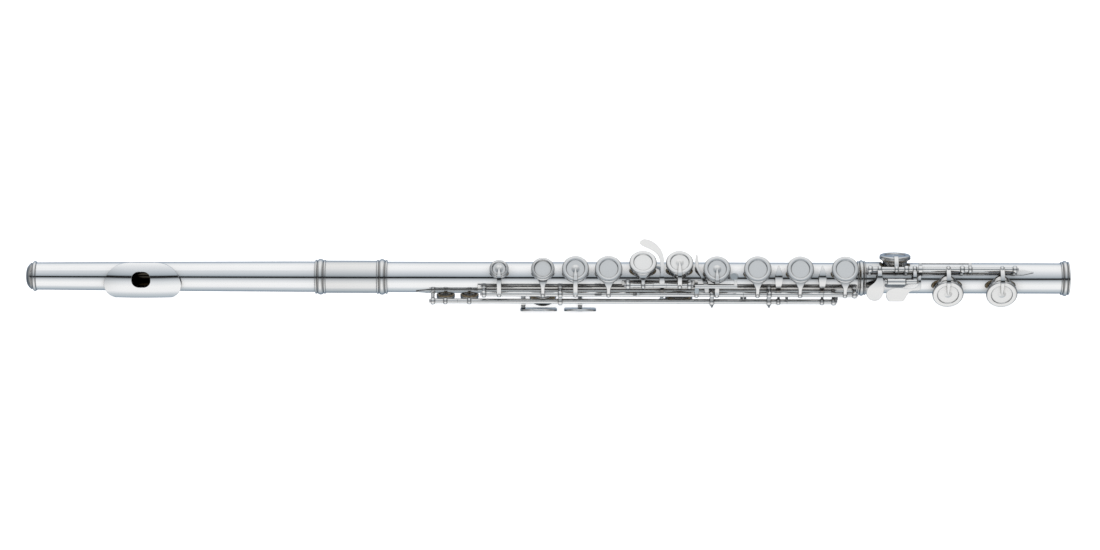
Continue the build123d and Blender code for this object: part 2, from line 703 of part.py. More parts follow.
def g_sharp_key(span):
    """Little-finger lever over the tube, and the closed cup it opens behind it."""
    x, clock, _, seat, radius = G_SHARP
    arm_x = -264.6
    strap = [at_clock(14.6, 45), at_clock(12.55, 62), at_clock(12.5, 84), at_clock(13.4, 104),
             at_clock(15.3, 120), at_clock(seat + CUP_TOP + 0.3, clock)]
    lever = [at_clock(*G_ROD), (-6.5, 15.4), (1.5, 16.6), (10.0, 15.4), (24.0, 11.6)]
    lever_blank = band(-271.0, 18.0, lever, 1.2)
    touch = outlined(lever_blank, [(-263.6, 2.0), (-263.4, 9.0), (-264.6, 16.5), (-268.6, 22.0),
                                   (-274.0, 24.7), (-278.0, 24.2), (-279.0, 22.4), (-276.4, 20.1),
                                   (-271.2, 17.6), (-267.4, 14.4), (-265.9, 9.0), (-265.9, 2.0),
                                   (-266.0, -6.0), (-264.8, -8.0), (-263.5, -6.0)])
    with BuildPart() as bridge:
        with BuildSketch(clock_plane(0, clock, seat + CUP_TOP - 0.4)):
            with BuildLine():
                Polyline((arm_x - 1.2, 1.3), (x, 0.5), (x, -0.5), (arm_x - 1.2, -1.3), close=True)
            make_face()
        extrude(amount=1.2)
    closed_cup = cup(x, seat, radius, clock, 0.66 * radius, hub=True)
    pieces = [closed_cup, band(arm_x, 2.4, strap), bridge.part, touch]
    return hinged(G_ROD, [span], [], pieces)


# ------------------------------------------------------------------ thumb keys
def thumb_touch(centre_x, half_width, arm_x):
    """A curved thumb leaf on an arm that passes under the tube."""
    hinge = at_clock(*THUMB_ROD)
    path = [hinge, (3.5, -18.3), (-6.0, -19.0), (-14.4, -15.4), (-17.3, -10.2), (-18.2, -5.6)]
    leaf_blank = band(centre_x, 2 * half_width, path[3:], 1.2)
    with BuildPart() as leaf:
        add(leaf_blank)
        with BuildSketch(clock_plane(0, 120, 0)):
            with Locations((centre_x, -3.0)):
                Ellipse(half_width, 7.6)
        extrude(amount=3 * TUBE_R, mode=Mode.INTERSECT)
    return [band(arm_x, 3.0, path[:5], 1.4), leaf.part]


def thumb_b_key(span):
    pieces = finger_cup(THUMB_B, THUMB_ROD) + thumb_touch(-317.5, 10.5, -317.5)
    key = hinged(THUMB_ROD, [span], [THUMB_B[0], -317.5], pieces)
    return opened(key, THUMB_B, THUMB_ROD, THUMB_LIFT)


def thumb_b_flat_lever(span):
    pieces = thumb_touch(-344.5, 12.0, -354.6)
    key = hinged(THUMB_ROD, [span], [-354.6], pieces)
    return opened(key, THUMB_B, THUMB_ROD, THUMB_LIFT)


# ------------------------------------------------------------------ right-hand keys and trills
def stack_key(hole, span, pieces, lugs=()):
    tabs = [lug(x, MAIN_ROD, 110, 3.6) for x in lugs]
    return opened(hinged(MAIN_ROD, [span], [hole[0]], pieces + tabs), hole, MAIN_ROD, KEY_LIFT)


def trill_cup(hole):
    """Small closed cup with its arm curling round from the trill rod."""
    x, clock, _, seat, radius = hole
    recess_floor = seat + CUP_TOP - RECESS_DEPTH
    path = [at_clock(*TRILL_ROD), (-16.6, -3.2), (-15.1, -5.9), at_clock(recess_floor + 0.2, clock)]
    return [cup(x, seat, radius, clock, 0.62 * radius, hub=True), band(x, 2.2, path)]


def trill_touch(x):
    """A leaf over the tube on an arm that passes under the main rod."""
    path = [at_clock(*TRILL_ROD), at_clock(13.2, 88), at_clock(12.5, 76), at_clock(12.5, 60),
            at_clock(13.9, 42), at_clock(15.0, 24), at_clock(15.2, 4), at_clock(14.6, -12)]
    blank = band(x, 5.2, path, 1.3)
    return outlined(blank, [(x - 0.9, -18.5), (x - 1.0, -9.5), (x - 2.4, -2.0), (x - 1.3, 5.0), (x, 7.9),
                            (x + 1.3, 5.0), (x + 2.4, -2.0), (x + 1.0, -9.5), (x + 0.9, -18.5), (x, -20.5)])


# ------------------------------------------------------------------ foot keys
def e_flat_key(span):
    """Closed cup on the far side, opened by the little finger's spatula."""
    arm_x = -124.1
    path = [at_clock(*FOOT_ROD), (-4.4, 17.0), (-9.0, 14.6), (-13.6, 9.6), (-17.2, 2.6)]
    blank = band(-127.0, 12.6, path, 1.2)
    spatula = outlined(blank, [(arm_x + 1.2, 5.2), (arm_x + 1.4, 2.0), (-121.6, -4.0), (-121.6, -9.5),
                               (-124.4, -14.2), (-128.6, -14.6), (-132.2, -11.2), (-131.6, -6.6),
                               (-127.2, -2.4), (arm_x - 1.4, 2.0), (arm_x - 1.2, 5.2), (arm_x, 7.2)])
    return hinged(FOOT_ROD, [span], [E_FLAT[0], arm_x], linked_cup(E_FLAT, FOOT_ROD) + [spatula])


def low_c_sharp_key(span, roller_x, roller_centre):
    """Cup on the player's side, with an arm and pin that carry the roller."""
    arm_x = -101.4
    start, end = roller_x
    pieces = linked_cup(LOW_C_SHARP, FOOT_ROD)
    pieces += [band(arm_x, 2.2, [at_clock(*FOOT_ROD), (-4.6, 15.6), roller_centre], 1.4),
               pin(start - 0.3, arm_x + 1.1, roller_centre, 0.8),
               pin(start - 1.3, start - 0.3, roller_centre, 1.5),
               pin(end + 0.3, arm_x + 1.1, roller_centre, 1.5)]
    key = hinged(FOOT_ROD, [span], [arm_x, LOW_C_SHARP[0]], pieces)
    return opened(key, LOW_C_SHARP, FOOT_ROD, FOOT_LIFT)


def low_c_key(span):
    """Cup at the foot's end, its touch plate carried on a ring and tied back by a bar beside the rod."""
    y, z = at_clock(*FOOT_ROD)
    ring_x = -97.8
    bar_centre = (y + 4.0, z + 0.8)
    plate_blank = band(-109.5, 24.0, [(-4.2, 14.6), (-8.2, 13.2), (-12.2, 8.4), (-15.8, 1.0)], 1.2)
    plate = outlined(plate_blank, [(ring_x + 1.1, 1.0), (ring_x + 1.1, -4.0), (ring_x, -7.4), (-104.0, -8.4),
                                   (-106.6, -11.5), (-109.0, -14.6), (-114.0, -15.6), (-118.4, -13.4),
                                   (-119.8, -9.6), (-117.0, -7.2), (-108.0, -6.6), (-100.6, -5.8),
                                   (ring_x - 1.1, -3.6), (ring_x - 1.1, 1.0)])
    with BuildPart() as ring:
        with BuildSketch(Plane.YZ.offset(ring_x - 1.2)):
            with Locations((y, z)):
                Circle(2.6)
        extrude(amount=2.4)
        add(band(ring_x, 2.4, [(y - 2.0, z), (-5.0, 14.2)], 1.5))
        add(band(ring_x, 2.2, [(y + 1.6, z), bar_centre], 1.4))
        with BuildSketch(Plane.YZ.offset(ring_x - 2.0)):
            with Locations((y, z)):
                Circle(BEARING_R)
        extrude(amount=4.0, mode=Mode.SUBTRACT)
    tie_x = -65.6
    pieces = linked_cup(LOW_C, FOOT_ROD)
    pieces += [ring.part, plate, pin(ring_x - 1.1, tie_x + 1.1, bar_centre, 0.6),
               band(tie_x, 2.2, [(y, z), bar_centre], 1.4)]
    key = hinged(FOOT_ROD, [span], [LOW_C[0], tie_x], pieces)
    return opened(key, LOW_C, FOOT_ROD, FOOT_LIFT)


# ------------------------------------------------------------------ build and write every piece
def write_head():
    save(head_tube(), "head_tube")
    save(lip_plate(lip_blank(LIP_ARC_R, LIP_ARC_R - LIP_THICKNESS)), "lip_plate")
    save(embouchure_riser(lip_blank(LIP_ARC_R - LIP_THICKNESS - SOLDER_GAP, 0)), "embouchure_riser")
    save(crown(), "crown")
    save(stopper_screw(), "stopper_screw")
    cork_end = STOPPER_FACE_X - PLATE_THICKNESS
    save(washer(cork_end - CORK_LENGTH, CORK_LENGTH, CORK_R, SCREW_R), "stopper_cork")
    save(washer(cork_end - CORK_LENGTH - PLATE_THICKNESS, PLATE_THICKNESS, PLATE_R, SCREW_R), "stopper_nut")


def barrel():
    start, end = BARREL_X
    ring = 7.0
    with BuildPart() as sleeve:
        add(washer(start, HEAD_END_X + 0.3 - start, BARREL_R, TUBE_R + SLIDE_GAP))
        add(washer(HEAD_END_X + 0.3, end - HEAD_END_X - 0.3, BARREL_R, TUBE_R))
        add(bead_ring(start, start + ring, BARREL_R - 0.2, BARREL_R, RING_R))
        add(bead_ring(end - ring, end, BARREL_R - 0.2, BARREL_R, RING_R))
    return sleeve.part


def foot_socket():
    start, end = SOCKET_X
    foot_start = FOOT_X[0]
    with BuildPart() as sleeve:
        add(washer(start, foot_start - start, BARREL_R, TUBE_R + SLIDE_GAP))
        add(washer(foot_start, end - foot_start, BARREL_R, TUBE_R))
        add(bead_ring(start, start + 5.2, BARREL_R - 0.2, BARREL_R, RING_R))
    return sleeve.part


def write_body():
    save(drawn_tube(BODY_X, BODY_HOLES), "body_tube")
    save(barrel(), "barrel")
    strap = rib((-384.0, -138.6), (52.0, 100.0), holes=BODY_HOLES)
    save(group([strap, rib((-424.0, -384.0), (80.0, 100.0), 9.0, BODY_HOLES)]), "main_rib")
    save(rib((-290.5, -243.4), (36.0, 51.0), holes=BODY_HOLES), "g_rib")
    save(rib((-364.0, -302.5), (207.0, 223.0), holes=BODY_HOLES), "thumb_rib")
    wires = [(MAIN_POSTS[0] + POST_HALF, 18.0), (MAIN_POSTS[1] + POST_HALF, 19.0),
             (MAIN_POSTS[2] + POST_HALF, 15.0), (MAIN_POSTS[3] - 16.0, 14.6), (MAIN_POSTS[4] - 18.0, 16.6)]
    save(group([needle(x, length, MAIN_ROD, 1) for x, length in wires]), "body_springs")
    posts = [post(x, MAIN_ROD, STEEL_R) for x in MAIN_POSTS]
    posts += [post(DOUBLE_POSTS[0], TRILL_ROD, BEARING_R)]
    posts += [post(x, TRILL_ROD, BEARING_R, finial=2.0) for x in DOUBLE_POSTS[1:]]
    posts += [post_link(x, MAIN_ROD, TRILL_ROD) for x in DOUBLE_POSTS]
    posts += [post(x, G_ROD, SLEEVE_BORE_R) for x in G_POSTS]
    posts += [post(x, TRILL_ROD, SLEEVE_BORE_R) for x in TRILL_POSTS]
    posts += [post(x, THUMB_ROD, STEEL_R) for x in THUMB_POSTS]
    save(group(posts), "body_posts")
    reach = POST_HALF + 0.5
    save(group([rods(MAIN_ROD, MAIN_POSTS[0] - reach, MAIN_POSTS[-1] + reach),
                rods(THUMB_ROD, THUMB_POSTS[0] - reach, THUMB_POSTS[1] + reach)]), "body_steels")


def write_left_hand():
    b_flat_end, a_end = -306.0, -281.3
    save(c_sharp_key(), "c_sharp_key")
    save(pad(C_SHARP, MAIN_ROD, KEY_LIFT), "c_sharp_pad")
    save(b_flat_key(b_flat_end), "b_flat_key")
    save(pad(B_FLAT, MAIN_ROD, KEY_LIFT), "b_flat_pad")
    save(a_key(b_flat_end + END_GAP, a_end), "a_key")
    save(pad(A_HOLE, MAIN_ROD, KEY_LIFT), "a_pad")
    save(side_lever(a_end + END_GAP), "side_b_flat_lever")
    sharp_span = (-270.5, -262.1)
    upper_span = (G_POSTS[0] + POST_HALF + END_GAP, sharp_span[0] - END_GAP)
    lower_span = (sharp_span[1] + END_GAP, G_POSTS[1] - POST_HALF - END_GAP)
    save(g_key(G_UPPER, upper_span, finger_cup(G_UPPER, G_ROD)), "g_upper_key")
    save(g_key(G_LOWER, lower_span, linked_cup(G_LOWER, G_ROD)), "g_lower_key")
    save(rods(G_ROD, G_POSTS[0] - POST_HALF - 0.5, G_POSTS[1] + POST_HALF + 0.5), "g_steel")
    save(group([pad(G_UPPER, G_ROD, KEY_LIFT), pad(G_LOWER, G_ROD, KEY_LIFT)]), "g_pads")
    save(g_sharp_key(sharp_span), "g_sharp_key")
    save(pad(G_SHARP, G_ROD, 0.0), "g_sharp_pad")
    lever_end = -352.4
    save(thumb_b_flat_lever((THUMB_POSTS[0] + POST_HALF + END_GAP, lever_end)), "thumb_b_flat_lever")
    save(thumb_b_key((lever_end + END_GAP, THUMB_POSTS[1] - POST_HALF - END_GAP)), "thumb_b_key")
    save(pad(THUMB_B, THUMB_ROD, THUMB_LIFT), "thumb_b_pad")


def write_right_hand():
    f_sharp_end, e_end = -212.1, -160.3
    stack = [("f_sharp", F_SHARP, (MAIN_POSTS[2] + POST_HALF + END_GAP, f_sharp_end), linked_cup,
              [f_sharp_end - 1.0]),
             ("f", F_HOLE, (f_sharp_end + END_GAP, MAIN_POSTS[3] - POST_HALF - END_GAP), finger_cup,
              [f_sharp_end + 1.1]),
             ("e", E_HOLE, (MAIN_POSTS[3] + POST_HALF + END_GAP, e_end), finger_cup, [-184.0]),
             ("d", D_HOLE, (e_end + END_GAP, MAIN_POSTS[4] - POST_HALF - END_GAP), finger_cup, [-151.8])]
    for name, hole, span, pieces, lugs in stack:
        save(stack_key(hole, span, pieces(hole, MAIN_ROD), lugs), name + "_key")
        save(pad(hole, MAIN_ROD, KEY_LIFT), name + "_pad")


def write_trills():
    d_start, d_end = -397.0, -183.5
    d_touch_x, d_sharp_touch_x = -189.2, -160.9
    left, right = TRILL_POSTS
    d_pieces = trill_cup(D_TRILL) + [trill_touch(d_touch_x)]
    save(hinged(TRILL_ROD, [(d_start, d_end)], [D_TRILL[0], d_touch_x], d_pieces), "d_trill_key")
    save(pad(D_TRILL, TRILL_ROD, 0.0), "d_trill_pad")
    save(hinged(TRILL_ROD, [(left + POST_HALF + END_GAP, d_start - END_GAP)], [D_SHARP_TRILL[0]],
                trill_cup(D_SHARP_TRILL), STEEL_R), "d_sharp_trill_cup")
    save(hinged(TRILL_ROD, [(d_end + END_GAP, right - POST_HALF - END_GAP)], [d_sharp_touch_x],
                [trill_touch(d_sharp_touch_x)], STEEL_R), "d_sharp_trill_touch")
    save(rods(TRILL_ROD, left - POST_HALF - 0.5, right + POST_HALF + 0.5), "trill_steel")
    save(pad(D_SHARP_TRILL, TRILL_ROD, 0.0), "d_sharp_trill_pad")


def write_foot():
    save(drawn_tube(FOOT_X, FOOT_HOLES), "foot_tube")
    save(foot_socket(), "foot_socket")
    end = FOOT_X[1]
    save(bead_ring(end - END_RING_LENGTH, end, TUBE_R, TUBE_R + 0.3, RING_R - 0.1), "foot_end_ring")
    save(rib((SOCKET_X[1] + 0.2, -24.0), (-6.0, 12.0), -9.0, FOOT_HOLES), "foot_rib")
    wires = [(FOOT_POSTS[0] + POST_HALF, 5.2), (FOOT_POSTS[2] - 8.4, 7.0), (FOOT_POSTS[3] - 17.0, 15.6)]
    save(group([needle(x, length, FOOT_ROD, 1) for x, length in wires]), "foot_springs")
    posts = [post(FOOT_POSTS[0], FOOT_ROD, STEEL_R, BARREL_R)]
    posts += [post(x, FOOT_ROD, STEEL_R) for x in FOOT_POSTS[1:]]
    save(group(posts), "foot_posts")
    save(rods(FOOT_ROD, FOOT_POSTS[0] - POST_HALF - 0.5, FOOT_POSTS[-1] + POST_HALF + 0.5), "foot_steel")
    first, second, third, fourth = FOOT_POSTS
    save(e_flat_key(span_between(first, second)), "e_flat_key")
    save(pad(E_FLAT, FOOT_ROD, 0.0), "e_flat_pad")
    roller_x = (-119.4, -107.4)
    roller_centre = (-8.4, 12.8)
    save(low_c_sharp_key(span_between(second, third), roller_x, roller_centre), "low_c_sharp_key")
    save(pad(LOW_C_SHARP, FOOT_ROD, FOOT_LIFT), "low_c_sharp_pad")
    with BuildPart() as roller:
        with BuildSketch(Plane.YZ.offset(roller_x[0])):
            with Locations(roller_centre):
                Circle(2.2)
        extrude(amount=roller_x[1] - roller_x[0])
        fillet(roller.edges().filter_by(GeomType.CIRCLE), 0.6)
        with BuildSketch(Plane.YZ.offset(roller_x[0] - 1.0)):
            with Locations(roller_centre):
                Circle(0.85)
        extrude(amount=roller_x[1] - roller_x[0] + 2.0, mode=Mode.SUBTRACT)
    save(opened(roller.part, LOW_C_SHARP, FOOT_ROD, FOOT_LIFT), "c_sharp_roller")
    save(low_c_key(span_between(third, fourth)), "low_c_key")
    save(pad(LOW_C, FOOT_ROD, FOOT_LIFT), "low_c_pad")


os.makedirs("parts", exist_ok=True)
write_head()
write_body()
write_left_hand()
write_right_hand()
write_trills()
write_foot()
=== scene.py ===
import json
import math

import bmesh
import bpy
from mathutils import Matrix, Vector

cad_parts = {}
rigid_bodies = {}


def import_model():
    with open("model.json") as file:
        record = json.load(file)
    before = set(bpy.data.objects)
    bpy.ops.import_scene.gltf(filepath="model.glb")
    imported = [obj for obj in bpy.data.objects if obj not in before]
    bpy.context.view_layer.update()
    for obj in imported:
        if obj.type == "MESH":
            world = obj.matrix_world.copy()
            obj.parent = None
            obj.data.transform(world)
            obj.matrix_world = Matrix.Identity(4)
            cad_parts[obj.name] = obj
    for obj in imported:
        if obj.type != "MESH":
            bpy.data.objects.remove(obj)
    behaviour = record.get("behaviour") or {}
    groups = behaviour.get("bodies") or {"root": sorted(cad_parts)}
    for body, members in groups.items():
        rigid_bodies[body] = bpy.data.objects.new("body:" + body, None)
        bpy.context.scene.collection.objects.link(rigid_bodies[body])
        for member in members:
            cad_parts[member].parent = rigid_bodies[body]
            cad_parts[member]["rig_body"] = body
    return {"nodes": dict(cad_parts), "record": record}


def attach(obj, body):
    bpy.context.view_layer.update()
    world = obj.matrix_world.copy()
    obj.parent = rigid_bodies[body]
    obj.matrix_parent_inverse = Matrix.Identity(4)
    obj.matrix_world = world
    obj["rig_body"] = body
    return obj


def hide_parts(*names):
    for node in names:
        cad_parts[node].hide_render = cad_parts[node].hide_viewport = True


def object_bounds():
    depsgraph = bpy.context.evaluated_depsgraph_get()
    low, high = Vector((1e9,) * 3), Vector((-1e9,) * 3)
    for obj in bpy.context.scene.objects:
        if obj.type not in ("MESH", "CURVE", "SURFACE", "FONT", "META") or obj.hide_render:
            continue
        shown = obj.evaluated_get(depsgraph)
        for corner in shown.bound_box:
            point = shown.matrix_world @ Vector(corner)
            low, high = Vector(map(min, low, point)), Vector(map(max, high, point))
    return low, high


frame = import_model()
CAD_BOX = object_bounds()
NODES = frame["nodes"]
RECORD = frame["record"]
MM = 0.001

# ------------------------------------------------------------------ silver and steel
SILVER = (0.90, 0.905, 0.91)
# painted shade: the keys and fittings are the same silver plate as the tubes, given a darker base
# colour
SHADED_KEY_SILVER = (0.80, 0.80, 0.795)
EDGE_TINT = (0.62, 0.68, 0.76)            # what silver reflects at a glancing angle
EDGE_WEAR = 0.35 * MM        # radius that years of handling and buffing leave on an edge
# painted shade: the colour the silver is darkened towards in corners and between parts
CORNER_SHADE_COLOUR = (0.13, 0.11, 0.085)
# painted shade: the colour the tube's inner wall is darkened towards
BORE_SHADE_COLOUR = (0.11, 0.09, 0.065)
CORNER_REACH = 8.0 * MM      # how far out of a corner the painted shade spreads
HINGE_STEEL = (0.62, 0.62, 0.63)
SPRING_STEEL = (0.20, 0.23, 0.30)         # blued
CREASE_ANGLE = 32.0          # degrees, a sharper fold between two faces stays crisp
NOISE_LOW, NOISE_HIGH = 0.3, 0.7          # most of a noise texture's values lie between these
MIX_A, MIX_B, MIX_RESULT = 6, 7, 2        # the colour sockets of a Mix node
# nodes that are finished like the tubes; the rest of the silver plate is a little rougher, and its
# base colour is darker, painted shade on the same plate
TUBE_FINISH = {"head_tube", "body_tube", "foot_tube", "lip_plate", "embouchure_riser"}
KEY_ENDINGS = ("_key", "_lever", "_cup", "_touch", "_roller")

# ------------------------------------------------------------------ pads and screw heads
PAD_ROLL = 0.45 * MM         # radius of the skin's rolled edge
PAD_PRESS = 0.80             # share of the radius where the tone hole's rim has pressed a ring
PAD_PUCKERS = 18             # folds of the skin round the edge
PUCKER_DEPTH = 0.002         # share of the radius
PAD_TURNS = 72
AXIS_STEPS = 720             # directions tried for a pad's axis
HEADED_STEELS = ("body_steels", "trill_steel", "foot_steel", "g_steel")
SLOT_WIDTH = 0.36 * MM
SLOT_FLOOR = 0.12 * MM       # thickness of the head under its screwdriver slot
HEAD_HEIGHT = 0.50 * MM
HEAD_PROUD = 0.15 * MM       # the head is this much larger in radius than its steel
HEAD_TURNS = 40
HALF_TURNS = 18

# ------------------------------------------------------------------ view
BOX_LOW, BOX_HIGH = (Vector(corner) for corner in CAD_BOX)
CENTRE = Vector(((BOX_LOW.x + BOX_HIGH.x) / 2, 0.0, 0.0))
VIEW_ELEVATION = 66.0        # degrees above the floor
VIEW_ROLL = 0.14             # degrees, the tube drops slightly to the right
VIEW_DISTANCE = 2.6
VIEW_OFFSET = (0.0015, 0.0013, 0.0006)    # from the flute's middle to the point looked at
FRAME_WIDTH = 0.715          # metres across the picture at the tube
SENSOR_WIDTH = 36.0

# ------------------------------------------------------------------ studio
FLOOR_SIZE = 12.0            # the white paper reaches far past the picture
FLOOR_DROP = 0.0005          # the gap between it and the flute's lowest point
FLOOR_WHITE = 0.9            # radius of the paper's evenly lit middle
FLOOR_TONES = ((0.95, 0.95, 0.955), (0.50, 0.52, 0.55))    # in the middle, and far out
FLOOR_GLOW = 0.75            # strength of the light table under the paper
# name, place (y, z) from the tube's middle, size and power
SOFTBOXES = (("overhead", (-0.35, 1.6), (2.4, 0.3), 5.0),
             ("front", (-1.6, 0.7), (2.2, 0.2), 1.2),
             ("back", (1.3, 0.9), (2.2, 0.3), 1.6))
# the light tent's tones by the angle round the tube, in degrees from straight up towards the
# player (negative: away from the player); the two black stops are the gap for the camera
TENT_TONES = [(-180, (0.30, 0.35, 0.40)), (-152, (0.42, 0.47, 0.53)), (-118, (0.52, 0.58, 0.64)),
              (-88, (0.92, 0.93, 0.94)), (-62, (1.0, 1.0, 1.0)), (-36, (0.94, 0.95, 0.96)),
              (-8, (0.70, 0.73, 0.76)), (12, (0.50, 0.54, 0.58)), (21, (0.36, 0.41, 0.45)),
              (25, (0.010, 0.010, 0.010)), (33, (0.012, 0.012, 0.012)), (40, (0.46, 0.49, 0.52)),
              (56, (0.80, 0.82, 0.84)), (78, (1.0, 1.0, 1.0)), (108, (0.98, 0.985, 0.99)),
              (128, (0.66, 0.70, 0.73)), (150, (0.52, 0.58, 0.62)), (180, (0.30, 0.35, 0.40))]
SIDE_WALL = 0.34             # how light the tent is at its two far ends
SIDE_FADE = (0.22, 0.85)     # X of the directions between which it fades towards them


# ------------------------------------------------------------------ material helpers
def set_inputs(made, inputs):
    for socket, value in inputs.items():
        made.inputs[socket].default_value = value


def node(tree, kind, inputs=None, **settings):
    """A new node, its properties set by keyword and its inputs by name or place."""
    made = tree.nodes.new(kind)
    for name, value in settings.items():
        setattr(made, name, value)
    set_inputs(made, inputs or {})
    return made


def new_material(name, inputs=None):
    """A material with its node tree and its shader, whose inputs are set by name."""
    material = bpy.data.materials.new(name)
    material.use_nodes = True
    tree = material.node_tree
    shader = tree.nodes["Principled BSDF"]
    set_inputs(shader, inputs or {})
    return material, tree, shader


def noise(tree, coords, scale, detail, stretch=(1.0, 1.0, 1.0)):
    """Object-space noise, stretched along the axes where the finish has a direction."""
    mapping = node(tree, "ShaderNodeMapping", {"Scale": stretch})
    made = node(tree, "ShaderNodeTexNoise", {"Scale": scale, "Detail": detail})
    tree.links.new(coords.outputs["Object"], mapping.inputs["Vector"])
    tree.links.new(mapping.outputs["Vector"], made.inputs["Vector"])
    return made


def ramp(tree, source, stops):
    """A colour for each value of the source, from stops of a place and a colour."""
    made = node(tree, "ShaderNodeValToRGB")
    elements = made.color_ramp.elements
    while len(elements) < len(stops):
        elements.new(0.5)
    for element, (place, colour) in zip(elements, stops):
        element.position = place
        element.color = (*colour, 1.0)
    tree.links.new(source, made.inputs["Fac"])
    return made


def map_range(tree, source, low, high):
    """A noise's values, spread between low and high."""
    made = node(tree, "ShaderNodeMapRange",
                {"From Min": NOISE_LOW, "From Max": NOISE_HIGH, "To Min": low, "To Max": high})
    tree.links.new(source, made.inputs["Value"])
    return made


def tint(tree, colour, towards, amount):
    """A colour mixed towards another one, by an amount between zero and one."""
    mix = node(tree, "ShaderNodeMix", {MIX_B: (*towards, 1.0)}, data_type="RGBA")
    tree.links.new(amount, mix.inputs["Factor"])
    tree.links.new(colour, mix.inputs[MIX_A])
    return mix.outputs[MIX_RESULT]


def paint(tree, shader, colour, rough):
    tree.links.new(colour, shader.inputs["Base Color"])
    tree.links.new(rough.outputs["Result"], shader.inputs["Roughness"])


def bump(tree, shader, source, strength, distance, normal=None):
    made = node(tree, "ShaderNodeBump", {"Strength": strength, "Distance": distance})
    tree.links.new(source, made.inputs["Height"])
    if normal is not None:
        tree.links.new(normal.outputs["Normal"], made.inputs["Normal"])
    tree.links.new(made.outputs["Normal"], shader.inputs["Normal"])


def inside_mask(tree, coords):
    """One on a tube's inner wall, else zero: the sign of the normal against the way out."""
    outward = node(tree, "ShaderNodeVectorMath", {1: (0.0, 1.0, 1.0)}, operation="MULTIPLY")
    facing = node(tree, "ShaderNodeVectorMath", operation="DOT_PRODUCT")
    inside = node(tree, "ShaderNodeMath", {1: 0.0}, operation="LESS_THAN")
    tree.links.new(coords.outputs["Object"], outward.inputs[0])
    tree.links.new(outward.outputs["Vector"], facing.inputs[0])
    tree.links.new(coords.outputs["Normal"], facing.inputs[1])
    tree.links.new(facing.outputs["Value"], inside.inputs[0])
    return inside


# ------------------------------------------------------------------ materials
def polished_silver(name, base, roughness, stretch, corner_shade, bore=False):
    """Buffed silver plate: tone drift, hairlines, softened edges, painted shade in corners and in
    the bore.
    """
    material, tree, shader = new_material(
        name, {"Metallic": 1.0, "Specular Tint": (*EDGE_TINT, 1.0)})
    coords = node(tree, "ShaderNodeTexCoord")
    drift = noise(tree, coords, scale=26.0, detail=3.0)
    tone = ramp(tree, drift.outputs["Fac"],
                [(0.30, tuple(c * 0.965 for c in base)), (0.70, base)])
    # painted shade: ambient occlusion darkens the colour in corners and between parts
    corners = node(tree, "ShaderNodeAmbientOcclusion", {"Distance": CORNER_REACH}, samples=6)
    corner_shade_ramp = ramp(tree, corners.outputs["AO"], [(0.22, (1.0, 1.0, 1.0)), (0.90, (0.0, 0.0, 0.0))])
    amount = node(tree, "ShaderNodeMath", {1: corner_shade}, operation="MULTIPLY")
    tree.links.new(corner_shade_ramp.outputs["Color"], amount.inputs[0])
    colour = tint(tree, tone.outputs["Color"], CORNER_SHADE_COLOUR, amount.outputs["Value"])
    # painted shade on the tube's inner wall, in the bore
    if bore:
        inside = inside_mask(tree, coords)
        colour = tint(tree, colour, BORE_SHADE_COLOUR, inside.outputs["Value"])
    hairline = noise(tree, coords, scale=900.0, detail=2.0, stretch=stretch)
    rough = map_range(tree, hairline.outputs["Fac"], roughness * 0.85, roughness * 1.2)
    paint(tree, shader, colour, rough)
    worn_edge = node(tree, "ShaderNodeBevel", {"Radius": EDGE_WEAR}, samples=4)
    bump(tree, shader, hairline.outputs["Fac"], 0.02, 0.002 * MM, worn_edge)
    return material


def drawn_steel(name, colour, roughness):
    """Steel rod, with fine lines along it from the drawing die."""
    material, tree, shader = new_material(name, {"Metallic": 1.0})
    coords = node(tree, "ShaderNodeTexCoord")
    lines = noise(tree, coords, scale=1500.0, detail=3.0, stretch=(0.04, 1.0, 1.0))
    tone = ramp(tree, lines.outputs["Fac"], [(0.3, tuple(c * 0.8 for c in colour)), (0.7, colour)])
    rough = map_range(tree, lines.outputs["Fac"], roughness * 0.8, roughness * 1.4)
    paint(tree, shader, tone.outputs["Color"], rough)
    bump(tree, shader, lines.outputs["Fac"], 0.15, 0.02 * MM)
    return material


def pad_skin():
    """Gold-beater's skin over woven felt: cream, slightly glossy and finely wrinkled."""
    material, tree, shader = new_material(
        "pad_skin", {"Coat Weight": 0.25, "Coat Roughness": 0.35, "Sheen Weight": 0.2})
    coords = node(tree, "ShaderNodeTexCoord")
    mottle = noise(tree, coords, scale=420.0, detail=6.0)
    tone = ramp(tree, mottle.outputs["Fac"],
                [(0.25, (0.30, 0.22, 0.12)), (0.5, (0.46, 0.36, 0.22)), (0.8, (0.60, 0.50, 0.34))])
    wrinkle = node(tree, "ShaderNodeTexVoronoi", {"Scale": 900.0}, feature="DISTANCE_TO_EDGE")
    tree.links.new(coords.outputs["Object"], wrinkle.inputs["Vector"])
    rough = map_range(tree, mottle.outputs["Fac"], 0.42, 0.72)
    paint(tree, shader, tone.outputs["Color"], rough)
    bump(tree, shader, wrinkle.outputs["Distance"], 0.35, 0.06 * MM)
    return material


def grain_cork():
    """The stopper's cork, with dark flecks between its grains."""
    material, tree, shader = new_material("grain_cork")
    coords = node(tree, "ShaderNodeTexCoord")
    cells = node(tree, "ShaderNodeTexVoronoi", {"Scale": 700.0})
    tree.links.new(coords.outputs["Object"], cells.inputs["Vector"])
    flecks = noise(tree, coords, scale=300.0, detail=5.0)
    tone = ramp(tree, flecks.outputs["Fac"],
                [(0.32, (0.16, 0.08, 0.035)), (0.45, (0.48, 0.29, 0.14)),
                 (0.75, (0.66, 0.45, 0.25))])
    rough = map_range(tree, flecks.outputs["Fac"], 0.7, 0.95)
    paint(tree, shader, tone.outputs["Color"], rough)
    bump(tree, shader, cells.outputs["Distance"], 0.4, 0.1 * MM)
    return material


